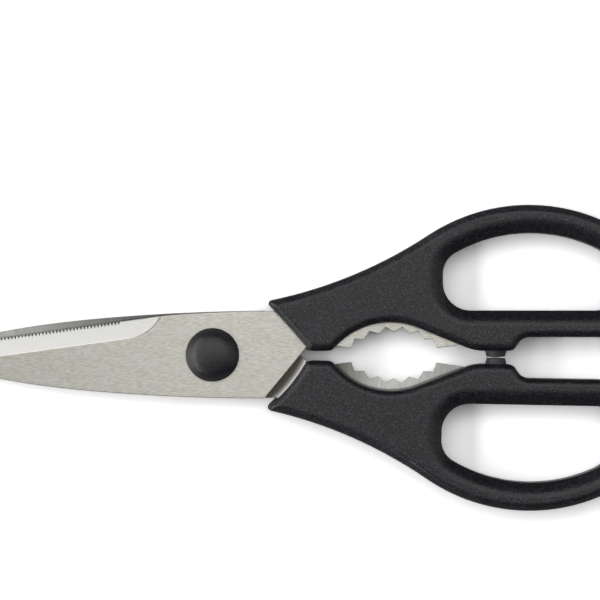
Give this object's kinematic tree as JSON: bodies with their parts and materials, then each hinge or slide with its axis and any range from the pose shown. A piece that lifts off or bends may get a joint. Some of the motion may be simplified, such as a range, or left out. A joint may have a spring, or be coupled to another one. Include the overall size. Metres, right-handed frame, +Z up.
{
  "type": "kitchen shears",
  "caption": "Come-apart kitchen shears: steel blades with a finely toothed edge, loop handles moulded over toothed tangs that form a gripping jaw, and a capped pivot.",
  "frame": {"origin": "on the surface that the closed shears lie on, under the middle of their box", "axes": "+X along the shears towards the handles, +Y from the lower handle to the upper handle, +Z up out of the surface, along the pivot"},
  "size_m": [0.209, 0.0876, 0.0126],
  "materials": {
    "blade_steel": "brushed along the blade, bright where the edge is ground",
    "pivot_steel": "turned and riveted",
    "handle_plastic": "fine moulded grain",
    "cap_plastic": "smooth satin moulding",
    "bumper_rubber": "soft satin moulding"
  },
  "bodies": {
    "back_half": {"back_blade": "blade_steel", "lower_handle": "handle_plastic", "lower_bumper": "bumper_rubber"},
    "front_half": {"front_blade": "blade_steel", "upper_handle": "handle_plastic", "upper_bumper": "bumper_rubber", "pivot_stud": "pivot_steel", "pivot_washer": "pivot_steel", "pivot_cap": "cap_plastic"}
  },
  "joints": [
    {"name": "opening", "type": "hinge", "parent": "back_half", "child": "front_half", "pos_m": [-0.01993, 0.00085, 0.006], "axis": [0, 0, 1], "range_deg": [0, 100]}
  ]
}
